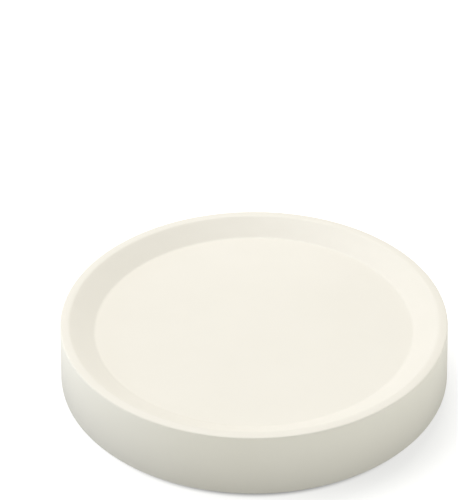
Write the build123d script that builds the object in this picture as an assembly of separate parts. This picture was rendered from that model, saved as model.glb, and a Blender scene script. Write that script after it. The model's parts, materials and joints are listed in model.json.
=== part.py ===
from build123d import *
import os
from math import atan2, cos, degrees, hypot, pi, radians, sin, sqrt, tan

# A round plant caddy: a moulded saucer whose deep skirt hides four swivel
# casters. Lengths are millimetres, angles are degrees and +Z is up. The origin
# is on the ground, under the middle of the caddy.

# The moulded tray
rim_radius = 150.0
rim_band = 7.0
rim_edge_round = 2.2
skirt_height = 49.5
skirt_draft = 2.5
skirt_wall = 2.8
slope_run = 19.0
slope_round = 5.0
recess_depth = 10.4
floor_wall = 3.0
sprue_radius = 3.7
sprue_length = 10.5
sprue_slant = 2.4

# The raised pads under the tray, one behind each caster plate
pad_border = 4.5
pad_corner = 9.0
pad_height = 1.6
pad_sink = 2.4

# Where the casters stand
caster_turn = 3.2
swivel_clearance = 11.0

# The wheels
wheel_radius = 20.0
tyre_width = 17.0
tyre_shoulder_width = 3.0
tyre_shoulder_drop = 1.8
hub_radius = 14.2
hub_flange = 3.1
hub_proud = 0.4
hub_boss_radius = 6.8
hub_boss_proud = 0.5
hub_web = 3.0
spoke_count = 6
spoke_width = 1.9

# The pressed forks
trail = 19.3
fork_sheet = 1.6
eye_radius = 5.5
leg_lean = 3.8
knee_x = -3.0
knee_drop = 3.5
knee_round = 7.0
heel_drop = 0.6
crown_clearance = 2.6
crown_flare = 2.25
crown_chamfer = 1.1
flare_angle = 25.0

# The mounting plates and their ball races
plate_side = 52.0
plate_corner = 5.0
plate_sheet = 2.0
screw_spacing = 39.0
slot_width = 4.6
slot_travel = 3.0
race_radius = 10.4
race_ring_width = 6.6
race_ring_drop = 0.9
race_cup_radius = 8.2
race_cup_sheet = 1.2
race_cup_edge = 0.5
track_depth = 0.5
track_slope = 30.0
ball_radius = 1.3
ball_count = 8
ball_facets = 8

# The pins and fasteners
king_pin_radius = 3.2
king_pin_head_radius = 5.4
king_pin_head_height = 1.7
king_pin_clinch_height = 1.1
axle_radius = 2.6
bush_wall = 1.2
rivet_head_radius = 4.8
rivet_head_height = 2.7
rivet_dome_angles = (62.0, 30.0, 0.0)
rivet_roll_radius = 3.8
rivet_roll_height = 1.7
rivet_bore_radius = 1.9
rivet_bore_depth = 2.6
screw_radius = 1.6
screw_head_radius = 3.6
screw_head_height = 1.9
screw_head_edge = 0.8
screw_grip = 3.4

# Clearances
running_gap = 0.05
side_gap = 0.2
pocket_gap = 0.4

# Name, place round the circle, heading of the wheel at rest, side of the rivet head
casters = [
    ("front_left", 225.0, 195.1, -1),
    ("front_right", 315.0, 212.3, -1),
    ("rear_left", 135.0, -12.0, -1),
    ("rear_right", 45.0, 169.0, 1),
]

# Heights, from the ground up
axle_z = wheel_radius
crown_under_z = 2 * wheel_radius + crown_clearance
crown_top_z = crown_under_z + fork_sheet
track_reach = (ball_radius + running_gap) / cos(radians(track_slope))
race_z = crown_top_z - track_depth + track_reach
race_ring_z = race_z + track_reach - track_depth
plate_under_z = race_ring_z + race_ring_drop
plate_top_z = plate_under_z + plate_sheet
floor_under_z = plate_top_z + pad_height
floor_top_z = floor_under_z + floor_wall
rim_top_z = floor_top_z + recess_depth
skirt_bottom_z = rim_top_z - skirt_height

# Widths, from the wheel outwards
hub_half = tyre_width / 2 + hub_proud
boss_half = hub_half + hub_boss_proud
fork_half = boss_half + side_gap
leg_face = fork_half + fork_sheet
crown_radius = (leg_face + crown_flare) / cos(radians(flare_angle))
bush_radius = axle_radius + bush_wall
hub_bore_radius = bush_radius + running_gap
swivel_reach = hypot(trail + wheel_radius, leg_face)
pin_circle = rim_radius - skirt_wall - swivel_clearance - swivel_reach


def section(points, rounds=()):
    """A face on the XZ plane through (radius, height) points, some corners rounded."""
    face = make_face(Plane.XZ * Polyline(*points, close=True))
    for (x, z), radius in rounds:
        corner = face.vertices().sort_by_distance((x, 0, z))[0]
        face = fillet(corner, radius)
    return face


def turned(points, rounds=()):
    """A full turn of a section about the Z axis."""
    return revolve(section(points, rounds), Axis.Z, 360)


def king_pin_place(place):
    """Where a caster's king pin stands."""
    angle = radians(place + caster_turn)
    return (pin_circle * cos(angle), pin_circle * sin(angle), 0)


def plate_frame(place):
    """A frame on the king pin, square with the caster's plate."""
    return Location(king_pin_place(place), (0, 0, place + caster_turn))


def fork_frame(place, heading):
    """A frame on the king pin whose +X points to the wheel."""
    return Location(king_pin_place(place), (0, 0, heading))


def axle_frame():
    """A frame in the middle of the wheel whose +Z lies along the axle."""
    return Location((trail, 0, axle_z), (-90, 0, 0))


def screw_spots():
    """The four corners of a plate where its screws stand."""
    half = screw_spacing / 2
    return [(x, y) for x in (-half, half) for y in (-half, half)]


def tray_shell():
    """The saucer and its skirt, turned in one piece with an even wall."""
    recess_radius = rim_radius - rim_band
    floor_radius = recess_radius - slope_run
    shift = floor_wall * tan(atan2(recess_depth, slope_run) / 2)
    draft = skirt_draft / skirt_height
    skirt_radius = rim_radius + skirt_draft
    inner_top = rim_radius - skirt_wall + draft * floor_wall
    rim_edge = (rim_radius, rim_top_z)
    recess_edge = (recess_radius, rim_top_z)
    floor_edge = (floor_radius, floor_top_z)
    points = [
        (0, floor_top_z),
        floor_edge,
        recess_edge,
        rim_edge,
        (skirt_radius, skirt_bottom_z),
        (skirt_radius - skirt_wall, skirt_bottom_z),
        (inner_top, rim_top_z - floor_wall),
        (recess_radius + shift, rim_top_z - floor_wall),
        (floor_radius + shift, floor_under_z),
        (0, floor_under_z),
    ]
    rounds = [
        (floor_edge, slope_round),
        (recess_edge, slope_round),
        (rim_edge, rim_edge_round),
    ]
    return turned(points, rounds)


def sprue_stub():
    """What is left of the moulding gate: a short peg cut off at a slant."""
    low = floor_under_z - sprue_length
    stub = extrude(
        section(
            [
                (-sprue_radius, floor_under_z + floor_wall / 2),
                (sprue_radius, floor_under_z + floor_wall / 2),
                (sprue_radius, low),
                (-sprue_radius, low + sprue_slant),
            ]
        ),
        sprue_radius,
        both=True,
    )
    round_bar = Pos(0, 0, floor_under_z) * Cylinder(sprue_radius, 4 * sprue_length)
    return stub & round_bar


def tray():
    """The whole moulding, with a drilled pad for each caster."""
    body = tray_shell() + sprue_stub()
    side = plate_side + 2 * pad_border
    pad = extrude(RectangleRounded(side, side, pad_corner), pad_height + pad_sink)
    clinch_radius = king_pin_head_radius + pocket_gap
    cuts = [Cylinder(clinch_radius, 2 * (king_pin_clinch_height + pocket_gap))]
    for x, y in screw_spots():
        cuts.append(Pos(x, y) * Cylinder(screw_radius, 2 * screw_grip))
    for _, place, _, _ in casters:
        frame = plate_frame(place) * Pos(0, 0, plate_top_z)
        body += frame * pad
        body -= [frame * cut for cut in cuts]
    return body


def ball_track():
    """The ring that cuts both V grooves of a race, a running gap clear of the balls."""
    half = track_reach / tan(radians(track_slope))
    return turned(
        [
            (race_radius - half, race_z),
            (race_radius, race_z - track_reach),
            (race_radius + half, race_z),
            (race_radius, race_z + track_reach),
        ]
    )


def caster_plate():
    """A square plate with slotted corners and the pressed ring of the ball race."""
    face = RectangleRounded(plate_side, plate_side, plate_corner)
    slot = SlotCenterToCenter(slot_travel, slot_width)
    for x, y in screw_spots():
        face -= Pos(x, y) * Rot(0, 0, degrees(atan2(y, x))) * slot
    plate = Pos(0, 0, plate_under_z) * extrude(face, plate_sheet)
    inner = race_radius - race_ring_width / 2
    outer = race_radius + race_ring_width / 2
    middle_z = plate_under_z + plate_sheet / 2
    plate += turned(
        [
            (inner, race_ring_z),
            (outer - race_ring_drop, race_ring_z),
            (outer, plate_under_z),
            (outer, middle_z),
            (inner, middle_z),
        ]
    )
    plate -= ball_track()
    return plate - Pos(0, 0, plate_under_z) * Cylinder(king_pin_radius, 4 * plate_sheet)


def race_balls():
    """The balls between the plate's ring and the crown, kept light with flats."""
    side = 2 * ball_radius * cos(pi / ball_facets)
    cube = Box(side, side, side)
    flat = side / (2 + sqrt(2))
    ball = Pos(race_radius, 0, race_z) * chamfer(cube.edges(), flat)
    return [Rot(0, 0, 360 * i / ball_count) * ball for i in range(ball_count)]


def race_cup():
    """The dished washer that carries the crown from below."""
    top = crown_under_z - running_gap
    low = top - race_cup_sheet
    return turned(
        [
            (king_pin_radius, low),
            (race_cup_radius - race_cup_edge, low),
            (race_cup_radius, low + race_cup_edge),
            (race_cup_radius, top),
            (king_pin_radius, top),
        ]
    )


def king_pin():
    """The rivet that the fork turns on: a head under the cup, clinched over the plate."""
    seat = crown_under_z - running_gap - race_cup_sheet
    low = seat - king_pin_head_height
    top = plate_top_z + king_pin_clinch_height
    return turned(
        [
            (0, low),
            (king_pin_radius, low),
            (king_pin_head_radius, seat),
            (king_pin_radius, seat),
            (king_pin_radius, plate_top_z),
            (king_pin_head_radius, plate_top_z),
            (king_pin_radius, top),
            (0, top),
        ]
    )


def crown_face(inset):
    """The fork from above: a round crown that narrows to two flat legs."""
    lean = radians(flare_angle)
    radius = crown_radius - inset
    side = leg_face - inset
    touch_x = radius * sin(lean)
    touch_y = radius * cos(lean)
    fold_x = touch_x + (touch_y - side) / tan(lean)
    reach = trail + 2 * eye_radius
    corners = [
        (touch_x, touch_y),
        (fold_x, side),
        (reach, side),
        (reach, -side),
        (fold_x, -side),
        (touch_x, -touch_y),
    ]
    back = ThreePointArc(corners[-1], (-radius, 0), corners[0])
    return make_face(Polyline(*corners) + back)


def leg_profile():
    """The fork from the side: hulls of the eye, the knee and the crown."""
    front_x = trail + eye_radius - leg_lean
    heel_x = -crown_radius - fork_sheet
    top_z = crown_top_z + fork_sheet
    knee = (knee_x, crown_under_z - knee_drop)
    eye = Pos(trail, axle_z) * CenterArc((0, 0), eye_radius, 0, 360)
    leg = make_hull([*eye.edges(), *Line(knee, (front_x, top_z)).edges()])
    crown = make_face(
        Polyline(
            (heel_x, crown_under_z - heel_drop),
            knee,
            (front_x, top_z),
            (heel_x, top_z),
            close=True,
        )
    )
    profile = (leg + crown).face()
    bend = profile.vertices().sort_by_distance((*knee, 0))[0]
    return Plane.XZ * fillet(bend, knee_round)


def fork():
    """Pressed from one sheet: a crown with a ball track and two gusseted legs."""
    shell = extrude(crown_face(0), crown_top_z)
    shell = chamfer(shell.edges().group_by(Axis.Z)[-1], crown_chamfer)
    shell -= extrude(crown_face(fork_sheet), crown_under_z)
    body = shell & extrude(leg_profile(), crown_radius + fork_sheet, both=True)
    body -= ball_track()
    body -= Pos(0, 0, crown_top_z) * Cylinder(king_pin_radius + running_gap, 4 * fork_sheet)
    return body - axle_frame() * Cylinder(axle_radius, 4 * leg_face)


def axle_rivet(side):
    """A semi-tubular rivet: a domed head on one leg and a rolled end on the other."""
    head_top = leg_face + rivet_head_height
    roll_top = leg_face + rivet_roll_height
    bore_end = roll_top - rivet_bore_depth
    dome = [
        (rivet_head_radius * cos(a), -leg_face - rivet_head_height * sin(a))
        for a in map(radians, rivet_dome_angles)
    ]
    shape = turned(
        [
            (0, -head_top),
            *dome,
            (axle_radius, -leg_face),
            (axle_radius, leg_face),
            (rivet_head_radius, leg_face),
            (rivet_roll_radius, roll_top),
            (rivet_bore_radius, roll_top),
            (rivet_bore_radius, bore_end),
            (0, bore_end),
        ]
    )
    return axle_frame() * Rot(180 if side > 0 else 0, 0, 0) * shape


def axle_bush():
    """The tube between the legs that the hub turns on."""
    wall = [(axle_radius, -fork_half), (bush_radius, -fork_half)]
    wall += [(bush_radius, fork_half), (axle_radius, fork_half)]
    return axle_frame() * turned(wall)


def hub_window():
    """One opening between two spokes, from the boss to the rim flange."""
    pitch = radians(360 / spoke_count)
    corners = []
    arcs = []
    for radius in (hub_boss_radius, hub_radius - hub_flange):
        edge = spoke_width / 2 / radius
        ends = [(radius * cos(a), radius * sin(a)) for a in (edge, pitch - edge)]
        middle = (radius * cos(pitch / 2), radius * sin(pitch / 2))
        arcs.append(ThreePointArc(ends[0], middle, ends[1]))
        corners.append(ends)
    sides = [Line(corners[0][i], corners[1][i]) for i in (0, 1)]
    return make_face(arcs + sides)


def hub():
    """A moulded wheel centre: boss, spokes over a middle web, and rim flange."""
    body = turned(
        [
            (hub_bore_radius, -boss_half),
            (hub_boss_radius, -boss_half),
            (hub_boss_radius, -hub_half),
            (hub_radius, -hub_half),
            (hub_radius, hub_half),
            (hub_boss_radius, hub_half),
            (hub_boss_radius, boss_half),
            (hub_bore_radius, boss_half),
        ]
    )
    pocket = extrude(hub_window(), 2 * hub_half)
    for i in range(spoke_count):
        spin = Rot(0, 0, 360 * i / spoke_count)
        body -= spin * Pos(0, 0, hub_web / 2) * pocket
        body -= spin * Pos(0, 0, -hub_web / 2 - 2 * hub_half) * pocket
    return axle_frame() * body


def tyre():
    """A solid rubber tyre with sloped shoulders."""
    half = tyre_width / 2
    tread = half - tyre_shoulder_width
    shoulder = wheel_radius - tyre_shoulder_drop
    wall = [(hub_radius, -half), (shoulder, -half), (wheel_radius, -tread)]
    wall += [(wheel_radius, tread), (shoulder, half), (hub_radius, half)]
    return axle_frame() * turned(wall)


def plate_screws():
    """Pan-head screws that hold one plate, up into the blind holes of its pad."""
    low = plate_under_z - screw_head_height
    tip = plate_top_z + screw_grip
    screw = turned(
        [
            (0, low),
            (screw_head_radius - screw_head_edge, low),
            (screw_head_radius, plate_under_z),
            (screw_radius, plate_under_z),
            (screw_radius, tip),
            (0, tip),
        ]
    )
    return [Pos(x, y) * screw for x, y in screw_spots()]


def save(node, *solids):
    """Writes one named sub-part; identical pieces share a file as separate solids."""
    shape = solids[0] if len(solids) == 1 else Compound(children=list(solids))
    export_step(shape, f"parts/{node}.step")


os.makedirs("parts", exist_ok=True)
save("tray", tray())
screws = []
for name, place, heading, rivet_side in casters:
    fixed = plate_frame(place)
    swivel = fork_frame(place, heading)
    screws += [fixed * screw for screw in plate_screws()]
    save(f"caster_plate_{name}", fixed * caster_plate())
    save(f"race_balls_{name}", *[fixed * ball for ball in race_balls()])
    save(f"race_cup_{name}", fixed * race_cup())
    save(f"king_pin_{name}", fixed * king_pin())
    save(f"fork_{name}", swivel * fork())
    save(f"axle_rivet_{name}", swivel * axle_rivet(rivet_side))
    save(f"axle_bush_{name}", swivel * axle_bush())
    save(f"hub_{name}", swivel * hub())
    save(f"tyre_{name}", swivel * tyre())
save("plate_screws", *screws)
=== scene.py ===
import json
from math import atan2, cos, pi, radians, sin, tan

import bmesh
import bpy
from mathutils import Matrix, Vector


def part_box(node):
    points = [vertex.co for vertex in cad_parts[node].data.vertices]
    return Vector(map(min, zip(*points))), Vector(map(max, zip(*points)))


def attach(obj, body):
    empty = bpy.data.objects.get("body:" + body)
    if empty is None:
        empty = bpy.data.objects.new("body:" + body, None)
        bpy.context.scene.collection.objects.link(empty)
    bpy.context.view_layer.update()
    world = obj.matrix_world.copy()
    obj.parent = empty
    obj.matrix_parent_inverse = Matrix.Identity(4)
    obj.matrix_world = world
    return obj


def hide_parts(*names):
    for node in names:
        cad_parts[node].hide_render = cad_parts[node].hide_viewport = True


# A round plant caddy: a cream moulded saucer on four swivel casters.
# Lengths are metres, +Z is up, and the origin is on the ground under the middle.

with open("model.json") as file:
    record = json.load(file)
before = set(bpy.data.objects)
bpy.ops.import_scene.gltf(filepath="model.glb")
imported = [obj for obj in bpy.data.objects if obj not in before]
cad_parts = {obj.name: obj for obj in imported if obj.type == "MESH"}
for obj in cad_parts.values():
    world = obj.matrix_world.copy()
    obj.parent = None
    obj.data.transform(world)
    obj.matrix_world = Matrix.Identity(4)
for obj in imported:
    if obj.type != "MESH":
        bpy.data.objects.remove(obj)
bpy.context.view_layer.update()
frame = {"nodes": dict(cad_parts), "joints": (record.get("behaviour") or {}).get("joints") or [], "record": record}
joints = {joint["name"]: joint for joint in frame["joints"]}
casters = ("front_left", "front_right", "rear_left", "rear_right")

# How fine the turned and rolled shapes are
weld = 1e-6
bend_steps = 6
roll_steps = 2
crease_angle = 32.0
flat_angle = 1.0

# The moulded tray
rim_radius = 0.150
rim_band = 0.007
rim_edge_round = 0.0013
skirt_draft = 0.0025
skirt_wall = 0.0028
foot_round = 0.0011
inner_round = 0.0006
slope_run = 0.019
slope_round = 0.005
floor_round = 0.005
floor_wall = 0.003
pad_side = 0.061
pad_corner = 0.009
pad_corner_steps = 8
pad_draft = 0.0008
pad_edge_round = 0.0006
pad_edge_steps = 3
stub_radius = 0.0037
stub_length = 0.0105
stub_slant = 0.0024
stub_steps = 32
tray_steps = 256

# The wheels
wheel_radius = 0.020
tyre_half = 0.0085
tyre_shoulder = 0.0026
tyre_corner_in = 0.0004
tyre_corner_down = 0.0008
tyre_line_place = 0.0058
tyre_line_width = 0.0005
tyre_line_depth = 0.0003
tyre_steps = 96
hub_radius = 0.0142
hub_flange = 0.0031
hub_half = 0.0089
hub_boss_radius = 0.0068
hub_boss_half = 0.0094
hub_bore_radius = 0.00385
hub_web_half = 0.0015
hub_draft = 0.0002
hub_rounds = (0.0005, 0.0006, 0.0006, 0.0004, 0.0003)
hub_steps = 72
spoke_count = 6
spoke_width = 0.0019
spoke_edge = 0.0003
spoke_root = 0.0005

# The sheet pieces
plate_sheet = 0.002
plate_edge = 0.00022
fork_edge = 0.00025
cup_radius = 0.0082
cup_draft = 0.0005
cup_round = 0.0006
cup_edge = 0.0003
cup_steps = 56

# The pins, balls and screws
pin_steps = 48
axle_radius = 0.0026
leg_face = 0.0112
bush_half = 0.0096
bush_edge = 0.0002
bush_steps = 40
rivet_head_radius = 0.0048
rivet_head_height = 0.0027
rivet_dome_steps = 10
rivet_collar = 0.0003
rivet_roll_radius = 0.0038
rivet_roll_height = 0.0017
rivet_roll_round = 0.0012
rivet_bore_radius = 0.0019
rivet_bore_depth = 0.0042
rivet_mouth_round = 0.0005
king_pin_radius = 0.0032
king_pin_head_radius = 0.0054
king_pin_head_height = 0.0017
king_pin_head_round = 0.0016
king_pin_head_edge = 0.0003
king_pin_clinch_height = 0.0011
king_pin_clinch_round = 0.0006
race_radius = 0.0104
ball_radius = 0.0013
ball_count = 8
ball_subdivisions = 3
screw_radius = 0.0016
screw_length = 0.0054
screw_head_radius = 0.0036
screw_head_height = 0.0019
screw_head_round = 0.0013
screw_flat_radius = 0.0021
screw_spacing = 0.039
screw_steps = 24
cross_reach = 0.0015
cross_width = 0.0007
cross_depth = 0.0010
cross_taper = 0.6

# The noise values between which a colour or a roughness changes over
cloud_low, cloud_high = 0.3, 0.7

# The broad grain: its scale as a share of the fine one's, and its weight in the relief
broad_share = 0.04
broad_weight = 3.0

# Input and output numbers of the mixing nodes
factor, number_a, number_b, colour_a, colour_b = 0, 2, 3, 6, 7
number_out, colour_out = 0, 2

# The studio
studio_radius = 14.0
studio_steps = 96
floor_shade = (0.35, 0.35, 0.35, 1)
floor_roughness = 0.9
glow_on_part = (0.975, 1.0, 0.935, 1)
glow_in_view = (1.0, 1.0, 0.985, 1)
air_in_view = (1, 1, 1, 1)
air_on_part = (0.985, 1.0, 0.965, 1)
air_strength = 0.42

# Brightness of the floor: middle of a ring, where it starts and ends, and both values
# The floor's light on the part, dim near the tray: painted shade on the skirt's foot
part_glow_painted_shade = ((0, 0, 0), 0.15, 0.30, 0.10, 1.08)
# The floor in the view, darker to the front right: a painted soft shadow
view_glow_painted_shadow = ((0.066, -0.012, 0), 0.095, 0.170, 0.71, 0.94)
# The floor in the view, dark just under the tray: a painted shadow that draws a dark line at the foot
under_tray_painted_shadow = ((0, 0.007, 0), 0.1405, 0.1480, 0.12, 1.0)

# Lamps: name, place, size, power and colour, all turned to one spot
lamp_aim = (0, 0, 0.05)
lamps = (
    ("overhead", (-0.34, 0.82, 2.35), 2.2, 44.5, (1.0, 0.99, 0.975)),
    ("back_left", (-1.9, 1.3, 1.5), 1.0, 10.0, (1.0, 0.98, 0.95)),
    ("right", (1.5, 0.10, 0.30), 0.5, 1.9, (1.0, 1.0, 0.97)),
    ("left", (-1.5, 0.12, 0.30), 0.5, 4.0, (0.86, 0.95, 1.18)),
)

# The camera
camera_place = (0, -0.97584282, 0.76259526)
camera_right = (0.9998692, 0.01103572, -0.01182353)
camera_up = (0.00383775, 0.54827701, 0.83628798)
camera_ahead = (-0.01571161, 0.83622397, -0.54816295)
camera_lens = 111.024
camera_sensor = 36.0
camera_reach = 60.0

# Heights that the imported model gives
tray_low, tray_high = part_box("tray")
cup_low, cup_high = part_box("race_cup_front_left")
balls_low, balls_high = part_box("race_balls_front_left")
skirt_bottom_z = tray_low.z
rim_top_z = tray_high.z
floor_top_z = frame["record"]["mounts"][0]["pos_m"][2]
floor_under_z = floor_top_z - floor_wall
plate_top_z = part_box("caster_plate_front_left")[1].z
plate_under_z = plate_top_z - plate_sheet


def wire(bm, points, rounds, closed):
    """A line through (radius, height) points whose named corners are rounded."""
    corners = [bm.verts.new((x, 0, z)) for x, z in points]
    followers = corners[1:] + corners[:1] if closed else corners[1:]
    for start, end in zip(corners, followers):
        bm.edges.new((start, end))
    for index, radius in rounds.items():
        corner = corners[index]
        sides = [edge.other_vert(corner).co - corner.co for edge in corner.link_edges]
        reach = radius / tan(sides[0].angle(sides[1]) / 2)
        bmesh.ops.bevel(
            bm, geom=[corner], offset=reach, offset_type="OFFSET",
            segments=bend_steps, profile=0.5, affect="VERTICES", material=-1,
            clamp_overlap=True,
        )


def turned(points, rounds, steps, closed=False):
    """A full turn of a profile about Z, some of its corners rounded."""
    bm = bmesh.new()
    wire(bm, points, rounds, closed)
    bmesh.ops.spin(
        bm, geom=bm.verts[:] + bm.edges[:], cent=(0, 0, 0), axis=(0, 0, 1),
        dvec=(0, 0, 0), angle=2 * pi, steps=steps, use_merge=True, use_duplicate=False,
    )
    bmesh.ops.remove_doubles(bm, verts=bm.verts, dist=weld)
    bmesh.ops.recalc_face_normals(bm, faces=bm.faces)
    return bm


def added(bm, other, place=Matrix.Identity(4)):
    """Joins a copy of another mesh, put in its place, to the first one."""
    carrier = bpy.data.meshes.new("carrier")
    other.to_mesh(carrier)
    carrier.transform(place)
    bm.from_mesh(carrier)
    bpy.data.meshes.remove(carrier)


def piece(name, bm, body, material, node_name):
    """Makes a finished piece that rides on a body and stands for a CAD node."""
    for face in bm.faces:
        face.smooth = True
    crease = radians(crease_angle)
    for edge in bm.edges:
        edge.smooth = edge.is_manifold and edge.calc_face_angle(0) < crease
    mesh = bpy.data.meshes.new(name)
    bm.to_mesh(mesh)
    bm.free()
    mesh.materials.append(material)
    item = bpy.data.objects.new(name, mesh)
    bpy.context.scene.collection.objects.link(item)
    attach(item, body)
    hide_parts(node_name)


def roll_edges(bm, edges, width, steps):
    """Rounds the given edges over."""
    bmesh.ops.bevel(
        bm, geom=edges, offset=width, offset_type="OFFSET", segments=steps,
        profile=0.5, affect="EDGES", material=-1, clamp_overlap=True,
    )


def softened(node_name, width):
    """A copy of a CAD node with its sharp edges rolled over."""
    bm = bmesh.new()
    bm.from_mesh(frame["nodes"][node_name].data)
    bmesh.ops.remove_doubles(bm, verts=bm.verts, dist=weld)
    bmesh.ops.dissolve_limit(
        bm, angle_limit=radians(flat_angle), verts=bm.verts, edges=bm.edges,
        delimit=set(),
    )
    sharp = [
        edge for edge in bm.edges
        if edge.is_manifold and edge.calc_face_angle(0) > radians(crease_angle)
    ]
    roll_edges(bm, sharp, width, roll_steps)
    return bm


def group(name, sockets):
    """A node group with named sockets, as (in or out, name, kind, value) rows."""
    tree = bpy.data.node_groups.new(name, "ShaderNodeTree")
    for way, label, kind, value in sockets:
        socket = tree.interface.new_socket(
            name=label, in_out=way, socket_type=f"NodeSocket{kind}"
        )
        if value is not None:
            socket.default_value = value
    return tree


def node(tree, kind, **values):
    """A shader node with its settings. An input that is a socket is linked."""
    made = tree.nodes.new(f"ShaderNode{kind}")
    inputs = values.pop("inputs")
    for key, value in values.items():
        setattr(made, key, value)
    for key, value in inputs.items():
        if isinstance(value, bpy.types.NodeSocket):
            tree.links.new(value, made.inputs[key])
        else:
            made.inputs[key].default_value = value
    return made


def mottle_group():
    """A colour that drifts between two shades in soft clouds."""
    tree = group("mottle", [
        ("INPUT", "Vector", "Vector", None),
        ("INPUT", "Scale", "Float", 20.0),
        ("INPUT", "Light", "Color", (1, 1, 1, 1)),
        ("INPUT", "Dark", "Color", (0.5, 0.5, 0.5, 1)),
        ("OUTPUT", "Color", "Color", None),
    ])
    source = tree.nodes.new("NodeGroupInput")
    result = tree.nodes.new("NodeGroupOutput")
    clouds = node(tree, "TexNoise", inputs={
        "Vector": source.outputs["Vector"],
        "Scale": source.outputs["Scale"],
        "Detail": 4.0,
        "Roughness": 0.6,
    })
    mask = node(tree, "MapRange", inputs={
        "Value": clouds.outputs["Fac"],
        "From Min": cloud_low,
        "From Max": cloud_high,
    })
    blend = node(tree, "Mix", data_type="RGBA", inputs={
        factor: mask.outputs["Result"],
        colour_a: source.outputs["Dark"],
        colour_b: source.outputs["Light"],
    })
    tree.links.new(blend.outputs[colour_out], result.inputs["Color"])
    return tree


def grain_group():
    """A grain in two scales: a height for a surface's relief, and a roughness."""
    tree = group("grain", [
        ("INPUT", "Vector", "Vector", None),
        ("INPUT", "Scale", "Float", 900.0),
        ("INPUT", "Smooth", "Float", 0.35),
        ("INPUT", "Rough", "Float", 0.45),
        ("OUTPUT", "Height", "Float", None),
        ("OUTPUT", "Roughness", "Float", None),
    ])
    source = tree.nodes.new("NodeGroupInput")
    result = tree.nodes.new("NodeGroupOutput")
    fine = node(tree, "TexNoise", inputs={
        "Vector": source.outputs["Vector"],
        "Scale": source.outputs["Scale"],
        "Detail": 3.0,
        "Roughness": 0.5,
    })
    broad_scale = node(tree, "Math", operation="MULTIPLY", inputs={
        0: source.outputs["Scale"],
        1: broad_share,
    })
    broad = node(tree, "TexNoise", inputs={
        "Vector": source.outputs["Vector"],
        "Scale": broad_scale.outputs[0],
        "Detail": 2.0,
    })
    height = node(tree, "Math", operation="MULTIPLY_ADD", inputs={
        0: broad.outputs["Fac"],
        1: broad_weight,
        2: fine.outputs["Fac"],
    })
    rough = node(tree, "MapRange", inputs={
        "Value": broad.outputs["Fac"],
        "From Min": cloud_low,
        "From Max": cloud_high,
        "To Min": source.outputs["Smooth"],
        "To Max": source.outputs["Rough"],
    })
    tree.links.new(height.outputs[0], result.inputs["Height"])
    tree.links.new(rough.outputs["Result"], result.inputs["Roughness"])
    return tree


def finish_material(
    name, light, dark, cloud, grain, smooth, rough, bump, depth, **shader
):
    """A surface with drifting colour, fine grain and its own gloss."""
    material = bpy.data.materials.new(name)
    material.use_nodes = True
    tree = material.node_tree
    principled = tree.nodes["Principled BSDF"]
    coordinates = tree.nodes.new("ShaderNodeTexCoord")
    colour = node(tree, "Group", node_tree=mottle, inputs={
        "Vector": coordinates.outputs["Object"],
        "Scale": cloud,
        "Light": (*light, 1),
        "Dark": (*dark, 1),
    })
    texture = node(tree, "Group", node_tree=grained, inputs={
        "Vector": coordinates.outputs["Object"],
        "Scale": grain,
        "Smooth": smooth,
        "Rough": rough,
    })
    relief = node(tree, "Bump", inputs={
        "Strength": bump,
        "Distance": depth,
        "Height": texture.outputs["Height"],
    })
    tree.links.new(colour.outputs["Color"], principled.inputs["Base Color"])
    tree.links.new(texture.outputs["Roughness"], principled.inputs["Roughness"])
    tree.links.new(relief.outputs["Normal"], principled.inputs["Normal"])
    for key, value in shader.items():
        principled.inputs[key.replace("_", " ")].default_value = value
    material.diffuse_color = (*light, 1)
    return material


mottle = mottle_group()
grained = grain_group()

cream_plastic = finish_material(
    "cream_plastic", light=(0.840, 0.806, 0.732), dark=(0.820, 0.786, 0.710),
    cloud=9.0, grain=2600.0, smooth=0.42, rough=0.50, bump=0.10, depth=0.00004,
    Specular_IOR_Level=0.42,
)
zinc_plate = finish_material(
    "zinc_plate", light=(0.66, 0.68, 0.70), dark=(0.52, 0.54, 0.57),
    cloud=160.0, grain=3200.0, smooth=0.24, rough=0.42, bump=0.18, depth=0.00003,
    Metallic=1.0,
)
turned_steel = finish_material(
    "turned_steel", light=(0.72, 0.73, 0.74), dark=(0.60, 0.61, 0.63),
    cloud=260.0, grain=4200.0, smooth=0.20, rough=0.34, bump=0.12, depth=0.00002,
    Metallic=1.0,
)
ball_steel = finish_material(
    "ball_steel", light=(0.80, 0.80, 0.82), dark=(0.74, 0.74, 0.76),
    cloud=400.0, grain=5000.0, smooth=0.08, rough=0.16, bump=0.05, depth=0.00001,
    Metallic=1.0,
)
screw_steel = finish_material(
    "screw_steel", light=(0.64, 0.65, 0.66), dark=(0.50, 0.51, 0.53),
    cloud=420.0, grain=4200.0, smooth=0.26, rough=0.42, bump=0.15, depth=0.00002,
    Metallic=1.0,
)
ivory_nylon = finish_material(
    "ivory_nylon", light=(0.88, 0.845, 0.745), dark=(0.84, 0.80, 0.69),
    cloud=120.0, grain=3600.0, smooth=0.34, rough=0.46, bump=0.15, depth=0.00003,
    Specular_IOR_Level=0.5,
)
black_rubber = finish_material(
    "black_rubber", light=(0.017, 0.017, 0.018), dark=(0.010, 0.010, 0.011),
    cloud=180.0, grain=4000.0, smooth=0.42, rough=0.60, bump=0.25, depth=0.00004,
    Specular_IOR_Level=0.5,
)


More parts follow.
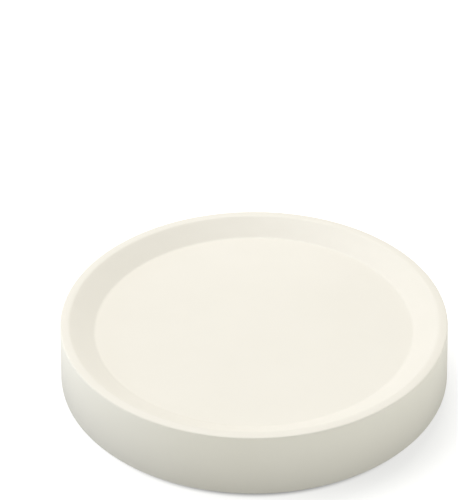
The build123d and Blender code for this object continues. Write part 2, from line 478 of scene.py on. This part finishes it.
def caster_pad():
    """The raised square behind a plate, with drawn sides and a soft lower edge."""
    half = pad_side / 2
    height = floor_under_z - plate_top_z
    bm = bmesh.new()
    bmesh.ops.create_grid(bm, x_segments=1, y_segments=1, size=half)
    for corner in bm.verts[:]:
        bmesh.ops.bevel(
            bm, geom=[corner], offset=pad_corner, offset_type="OFFSET",
            segments=pad_corner_steps, profile=0.5, affect="VERTICES", material=-1,
            clamp_overlap=True,
        )
    low = bm.faces[:]
    bmesh.ops.recalc_face_normals(bm, faces=low)
    top = bmesh.ops.extrude_face_region(bm, geom=low, use_keep_orig=True)["geom"]
    raised = [v for v in top if isinstance(v, bmesh.types.BMVert)]
    bmesh.ops.translate(bm, verts=raised, vec=(0, 0, height + floor_wall / 2))
    spread = (half + pad_draft) / half
    bmesh.ops.scale(bm, verts=raised, vec=(spread, spread, 1))
    bmesh.ops.recalc_face_normals(bm, faces=bm.faces)
    foot = [edge for edge in bm.edges if all(abs(v.co.z) < weld for v in edge.verts)]
    roll_edges(bm, foot, pad_edge_round, pad_edge_steps)
    return bm


def gate_stub():
    """What is left of the moulding gate: a short peg cut off at a slant."""
    bm = bmesh.new()
    bmesh.ops.create_cone(
        bm, cap_ends=True, segments=stub_steps, radius1=stub_radius,
        radius2=stub_radius, depth=stub_length + floor_wall / 2,
    )
    bmesh.ops.translate(
        bm, verts=bm.verts,
        vec=(0, 0, floor_under_z + (floor_wall / 2 - stub_length) / 2),
    )
    low = floor_under_z - stub_length
    for corner in bm.verts:
        if corner.co.z < floor_under_z - stub_length / 2:
            share = (stub_radius - corner.co.x) / (2 * stub_radius)
            corner.co.z = low + share * stub_slant
    return bm


def tray():
    """The saucer and its skirt in one turned wall, with the pads and the stub."""
    recess_radius = rim_radius - rim_band
    floor_radius = recess_radius - slope_run
    rise = rim_top_z - floor_top_z
    shift = floor_wall * tan(atan2(rise, slope_run) / 2)
    draft = skirt_draft / (rim_top_z - skirt_bottom_z)
    skirt_radius = rim_radius + skirt_draft
    points = [
        (0, floor_top_z),
        (floor_radius, floor_top_z),
        (recess_radius, rim_top_z),
        (rim_radius, rim_top_z),
        (skirt_radius, skirt_bottom_z),
        (skirt_radius - skirt_wall, skirt_bottom_z),
        (rim_radius - skirt_wall + draft * floor_wall, rim_top_z - floor_wall),
        (recess_radius + shift, rim_top_z - floor_wall),
        (floor_radius + shift, floor_under_z),
        (0, floor_under_z),
    ]
    rounds = {
        1: floor_round,
        2: slope_round,
        3: rim_edge_round,
        4: foot_round,
        5: foot_round,
        6: inner_round,
        8: floor_wall,
    }
    bm = turned(points, rounds, tray_steps)
    pad = caster_pad()
    for name in casters:
        x, y, _ = joints[f"swivel_{name}"]["pos_m"]
        added(bm, pad, Matrix.Translation((x, y, plate_top_z)) @ plate_turn(name))
    pad.free()
    stub = gate_stub()
    added(bm, stub)
    stub.free()
    piece("tray_moulding", bm, "caddy", cream_plastic, "tray")


def plate_turn(name):
    """The turn of a caster's plate, square with the line to the middle."""
    x, y, _ = joints[f"swivel_{name}"]["pos_m"]
    return Matrix.Rotation(atan2(y, x), 4, "Z")


def wheel_place(name):
    """A frame in the middle of a wheel whose +Z lies along the axle."""
    joint = joints[f"roll_{name}"]
    along = Vector(joint["axis"])
    down = Vector((0, 0, -1))
    turn = Matrix((down.cross(along), down, along)).transposed().to_4x4()
    return Matrix.Translation(joint["pos_m"]) @ turn


def tyre(name):
    """A solid tyre with rounded shoulders and a fine groove near each edge."""
    line_middle = tyre_line_place - tyre_line_width / 2
    half_profile = [
        (hub_radius, tyre_half),
        (wheel_radius - tyre_corner_in, tyre_half),
        (wheel_radius, tyre_half - tyre_corner_down),
        (wheel_radius, tyre_line_place),
        (wheel_radius - tyre_line_depth, line_middle),
        (wheel_radius, tyre_line_place - tyre_line_width),
    ]
    points = half_profile + [(r, -z) for r, z in reversed(half_profile)]
    corners = {1: tyre_shoulder, len(points) - 2: tyre_shoulder}
    bm = turned(points, corners, tyre_steps, closed=True)
    bm.transform(wheel_place(name))
    piece(
        f"rubber_tyre_{name}", bm, f"wheel_{name}", black_rubber,
        f"tyre_{name}",
    )


def hub(name):
    """A moulded wheel centre: boss, spokes over a middle web, and a rim flange."""
    inner = hub_radius - hub_flange
    points = [
        (hub_bore_radius, hub_boss_half),
        (hub_boss_radius, hub_boss_half),
        (hub_boss_radius + hub_draft, hub_web_half),
        (inner - hub_draft, hub_web_half),
        (inner, hub_half),
        (hub_radius, hub_half),
    ]
    points += [(r, -z) for r, z in reversed(points)]
    rounds = dict(enumerate(hub_rounds, start=1))
    last = len(points) - 1
    rounds.update({last - index: size for index, size in rounds.items()})
    bm = turned(points, rounds, hub_steps, closed=True)
    spoke = bmesh.new()
    bmesh.ops.create_cube(spoke, size=1)
    length = inner - hub_boss_radius + 2 * spoke_root
    bmesh.ops.scale(spoke, verts=spoke.verts, vec=(length, spoke_width, 2 * hub_half))
    lengthwise = [
        edge for edge in spoke.edges
        if abs(edge.verts[0].co.x - edge.verts[1].co.x) > length / 2
    ]
    roll_edges(spoke, lengthwise, spoke_edge, roll_steps)
    reach = (inner + hub_boss_radius) / 2
    for index in range(spoke_count):
        turn = Matrix.Rotation(2 * pi * index / spoke_count, 4, "Z")
        added(bm, spoke, turn @ Matrix.Translation((reach, 0, 0)))
    spoke.free()
    bm.transform(wheel_place(name))
    piece(
        f"nylon_hub_{name}", bm, f"wheel_{name}", ivory_nylon,
        f"hub_{name}",
    )


def fork(name):
    """The pressed fork, with its cut edges rolled over."""
    bm = softened(f"fork_{name}", fork_edge)
    piece(
        f"pressed_fork_{name}", bm, f"swivel_{name}", zinc_plate,
        f"fork_{name}",
    )


def caster_plate(name):
    """The mounting plate, with its stamped edges rolled over."""
    bm = softened(f"caster_plate_{name}", plate_edge)
    piece(
        f"stamped_plate_{name}", bm, "caddy", zinc_plate,
        f"caster_plate_{name}",
    )


def axle_rivet(name):
    """A semi-tubular rivet: a domed head on one leg and a rolled end on the other."""
    place = wheel_place(name)
    solid = frame["nodes"][f"axle_rivet_{name}"].data
    ends = [(place.inverted() @ corner.co).z for corner in solid.vertices]
    # The domed head stands out further than the rolled end
    turned_over = max(ends) > -min(ends)
    head_top = leg_face + rivet_head_height
    roll_top = leg_face + rivet_roll_height
    dome = []
    for step in range(1, rivet_dome_steps + 1):
        slope = pi / 2 * (1 - step / rivet_dome_steps)
        side = rivet_head_radius * cos(slope)
        dome.append((side, -leg_face - rivet_head_height * sin(slope)))
    points = [
        (0, -head_top),
        *dome,
        (axle_radius, -leg_face),
        (axle_radius, leg_face),
        (rivet_head_radius, leg_face),
        (rivet_head_radius, leg_face + rivet_collar),
        (rivet_roll_radius, roll_top),
        (rivet_bore_radius, roll_top),
        (rivet_bore_radius, roll_top - rivet_bore_depth),
        (0, roll_top - rivet_bore_depth),
    ]
    # The outer corner of the rolled end is the fourth point from the last
    roll = len(points) - 4
    rounds = {roll: rivet_roll_round, roll + 1: rivet_mouth_round}
    bm = turned(points, rounds, pin_steps)
    bm.transform(place @ Matrix.Rotation(pi if turned_over else 0, 4, "X"))
    piece(
        f"axle_pin_{name}", bm, f"swivel_{name}", turned_steel,
        f"axle_rivet_{name}",
    )


def bush(name):
    """The tube that the wheel turns on."""
    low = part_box(f"axle_bush_{name}")[0].z
    outer = joints[f"roll_{name}"]["pos_m"][2] - low
    points = [
        (axle_radius, -bush_half),
        (outer, -bush_half),
        (outer, bush_half),
        (axle_radius, bush_half),
    ]
    bm = turned(points, {1: bush_edge, 2: bush_edge}, bush_steps, closed=True)
    bm.transform(wheel_place(name))
    piece(
        f"axle_tube_{name}", bm, f"swivel_{name}", turned_steel,
        f"axle_bush_{name}",
    )


def king_pin(name):
    """The rivet that the fork turns on, from its low head to its clinched top."""
    x, y, _ = joints[f"swivel_{name}"]["pos_m"]
    seat = cup_low.z
    low = seat - king_pin_head_height
    top = plate_top_z + king_pin_clinch_height
    points = [
        (0, low),
        (king_pin_radius, low),
        (king_pin_head_radius, seat),
        (king_pin_radius, seat),
        (king_pin_radius, plate_top_z),
        (king_pin_head_radius, plate_top_z),
        (king_pin_radius, top),
        (0, top),
    ]
    rounds = {1: king_pin_head_round, 2: king_pin_head_edge, 6: king_pin_clinch_round}
    bm = turned(points, rounds, pin_steps)
    bm.transform(Matrix.Translation((x, y, 0)))
    piece(
        f"swivel_pin_{name}", bm, "caddy", turned_steel,
        f"king_pin_{name}",
    )


def race_cup(name):
    """The dished washer under the crown."""
    x, y, _ = joints[f"swivel_{name}"]["pos_m"]
    points = [
        (king_pin_radius, cup_low.z),
        (cup_radius - cup_draft, cup_low.z),
        (cup_radius, cup_high.z),
        (king_pin_radius, cup_high.z),
    ]
    bm = turned(points, {1: cup_round, 2: cup_edge}, cup_steps, closed=True)
    bm.transform(Matrix.Translation((x, y, 0)))
    piece(
        f"dished_washer_{name}", bm, "caddy", zinc_plate,
        f"race_cup_{name}",
    )


def race_balls(name):
    """The balls of one race."""
    x, y, _ = joints[f"swivel_{name}"]["pos_m"]
    ball = bmesh.new()
    bmesh.ops.create_icosphere(
        ball, subdivisions=ball_subdivisions, radius=ball_radius
    )
    bm = bmesh.new()
    middle = (balls_low.z + balls_high.z) / 2
    for index in range(ball_count):
        turn = plate_turn(name) @ Matrix.Rotation(2 * pi * index / ball_count, 4, "Z")
        out = turn @ Matrix.Translation((race_radius, 0, 0))
        added(bm, ball, Matrix.Translation((x, y, middle)) @ out)
    ball.free()
    piece(
        f"bearing_balls_{name}", bm, "caddy", ball_steel,
        f"race_balls_{name}",
    )


def screw():
    """A pan-head screw with a crossed recess, its head down and its seat at zero."""
    bm = turned(
        [
            (screw_flat_radius, -screw_head_height),
            (screw_head_radius, -screw_head_height),
            (screw_head_radius, 0),
            (screw_radius, 0),
            (screw_radius, screw_length - screw_radius),
            (0, screw_length),
        ],
        {1: screw_head_round}, screw_steps,
    )
    ring = [edge for edge in bm.edges if edge.is_boundary]
    long, wide = cross_reach, cross_width / 2
    quarter = [(long, -wide), (long, wide), (wide, wide)]
    cross = []
    for turn in range(4):
        for x, y in quarter:
            for _ in range(turn):
                x, y = -y, x
            cross.append(bm.verts.new((x, y, -screw_head_height)))
    mouth = [bm.edges.new(ends) for ends in zip(cross, cross[1:] + cross[:1])]
    bmesh.ops.triangle_fill(bm, edges=ring + mouth, use_beauty=True, normal=(0, 0, -1))
    sunk = bmesh.ops.extrude_edge_only(bm, edges=mouth)["geom"]
    bottom = [v for v in sunk if isinstance(v, bmesh.types.BMVert)]
    bmesh.ops.scale(bm, verts=bottom, vec=(cross_taper, cross_taper, 1))
    bmesh.ops.translate(bm, verts=bottom, vec=(0, 0, cross_depth))
    edges = [part for part in sunk if isinstance(part, bmesh.types.BMEdge)]
    loop = [edge for edge in edges if all(v in bottom for v in edge.verts)]
    bmesh.ops.edgeloop_fill(bm, edges=loop)
    bmesh.ops.recalc_face_normals(bm, faces=bm.faces)
    return bm


def screws():
    """The four screws of each plate, as one group."""
    one = screw()
    bm = bmesh.new()
    half = screw_spacing / 2
    for name in casters:
        x, y, _ = joints[f"swivel_{name}"]["pos_m"]
        base = Matrix.Translation((x, y, plate_under_z)) @ plate_turn(name)
        for dx in (-half, half):
            for dy in (-half, half):
                added(bm, one, base @ Matrix.Translation((dx, dy, 0)))
    one.free()
    piece("pan_screws", bm, "caddy", screw_steel, "plate_screws")


tray()
screws()
for caster in casters:
    caster_plate(caster)
    race_balls(caster)
    race_cup(caster)
    king_pin(caster)
    fork(caster)
    axle_rivet(caster)
    bush(caster)
    hub(caster)
    tyre(caster)


def glow_ring(tree, spot, middle, near, far, low, high):
    """A brightness that rises with the distance from a point on the floor: a ring of painted shade around it."""
    distance = node(tree, "VectorMath", operation="DISTANCE", inputs={
        0: spot,
        1: middle,
    })
    ramp = node(tree, "MapRange", interpolation_type="SMOOTHSTEP", inputs={
        "Value": distance.outputs["Value"],
        "From Min": near,
        "From Max": far,
        "To Min": low,
        "To Max": high,
    })
    return ramp.outputs["Result"]


def painted_shadow_floor_material():
    """A glowing floor with painted shadows: one brightness in the view, another in the light it gives."""
    material = bpy.data.materials.new("pale_floor_painted_shadow")
    material.use_nodes = True
    tree = material.node_tree
    shader = tree.nodes["Principled BSDF"]
    shader.inputs["Base Color"].default_value = floor_shade
    shader.inputs["Roughness"].default_value = floor_roughness
    shader.inputs["Specular IOR Level"].default_value = 0.0
    spot = tree.nodes.new("ShaderNodeTexCoord").outputs["Object"]
    seen = tree.nodes.new("ShaderNodeLightPath").outputs["Is Camera Ray"]
    # The floor's light on the part is dimmed near the tray: painted shade
    part_light_painted_shade = glow_ring(tree, spot, *part_glow_painted_shade)
    # The floor in the view holds a painted soft shadow and a painted shadow under the tray
    view_painted_shadow = node(tree, "Math", operation="MULTIPLY", inputs={
        0: glow_ring(tree, spot, *view_glow_painted_shadow),
        1: glow_ring(tree, spot, *under_tray_painted_shadow),
    })
    # Camera rays see the painted shadows, other rays get the dimmed light
    strength = node(tree, "Mix", data_type="FLOAT", inputs={
        factor: seen,
        number_a: part_light_painted_shade,
        number_b: view_painted_shadow.outputs[0],
    })
    tint = node(tree, "Mix", data_type="RGBA", inputs={
        factor: seen,
        colour_a: glow_on_part,
        colour_b: glow_in_view,
    })
    tree.links.new(strength.outputs[number_out], shader.inputs["Emission Strength"])
    tree.links.new(tint.outputs[colour_out], shader.inputs["Emission Color"])
    return material


def studio_floor():
    """A wide round floor under the casters."""
    bm = bmesh.new()
    bmesh.ops.create_circle(
        bm, cap_ends=True, segments=studio_steps, radius=studio_radius
    )
    mesh = bpy.data.meshes.new("studio_floor")
    bm.to_mesh(mesh)
    bm.free()
    floor = bpy.data.objects.new("studio_floor", mesh)
    bpy.context.scene.collection.objects.link(floor)
    mesh.materials.append(painted_shadow_floor_material())


def studio_air():
    """A white surround that lights the part less than it shows."""
    world = bpy.data.worlds.new("studio_air")
    bpy.context.scene.world = world
    world.use_nodes = True
    tree = world.node_tree
    tree.nodes.clear()
    output = tree.nodes.new("ShaderNodeOutputWorld")
    path = tree.nodes.new("ShaderNodeLightPath")
    seen = node(tree, "Background", inputs={"Color": air_in_view, "Strength": 1.0})
    lit = node(tree, "Background", inputs={
        "Color": air_on_part,
        "Strength": air_strength,
    })
    mix = node(tree, "MixShader", inputs={
        0: path.outputs["Is Camera Ray"],
        1: lit.outputs[0],
        2: seen.outputs[0],
    })
    tree.links.new(mix.outputs[0], output.inputs["Surface"])


def lamp(name, place, size, power, colour):
    """A round soft lamp."""
    light = bpy.data.lights.new(name, "AREA")
    light.shape = "DISK"
    light.size = size
    light.energy = power
    light.color = colour
    item = bpy.data.objects.new(name, light)
    item.location = place
    aim = Vector(lamp_aim) - Vector(place)
    item.rotation_euler = aim.to_track_quat("-Z", "Y").to_euler()
    bpy.context.scene.collection.objects.link(item)


def camera():
    """The photograph's view of the cream caddy, from in front and above."""
    data = bpy.data.cameras.new("camera")
    data.sensor_width = camera_sensor
    data.lens = camera_lens
    data.clip_end = camera_reach
    eye = bpy.data.objects.new("camera", data)
    back = -Vector(camera_ahead)
    turn = Matrix((Vector(camera_right), Vector(camera_up), back)).transposed()
    eye.matrix_world = Matrix.Translation(camera_place) @ turn.to_4x4()
    bpy.context.scene.collection.objects.link(eye)
    bpy.context.scene.camera = eye


studio_floor()
studio_air()
for values in lamps:
    lamp(*values)
camera()
bpy.context.scene.view_settings.view_transform = "Standard"
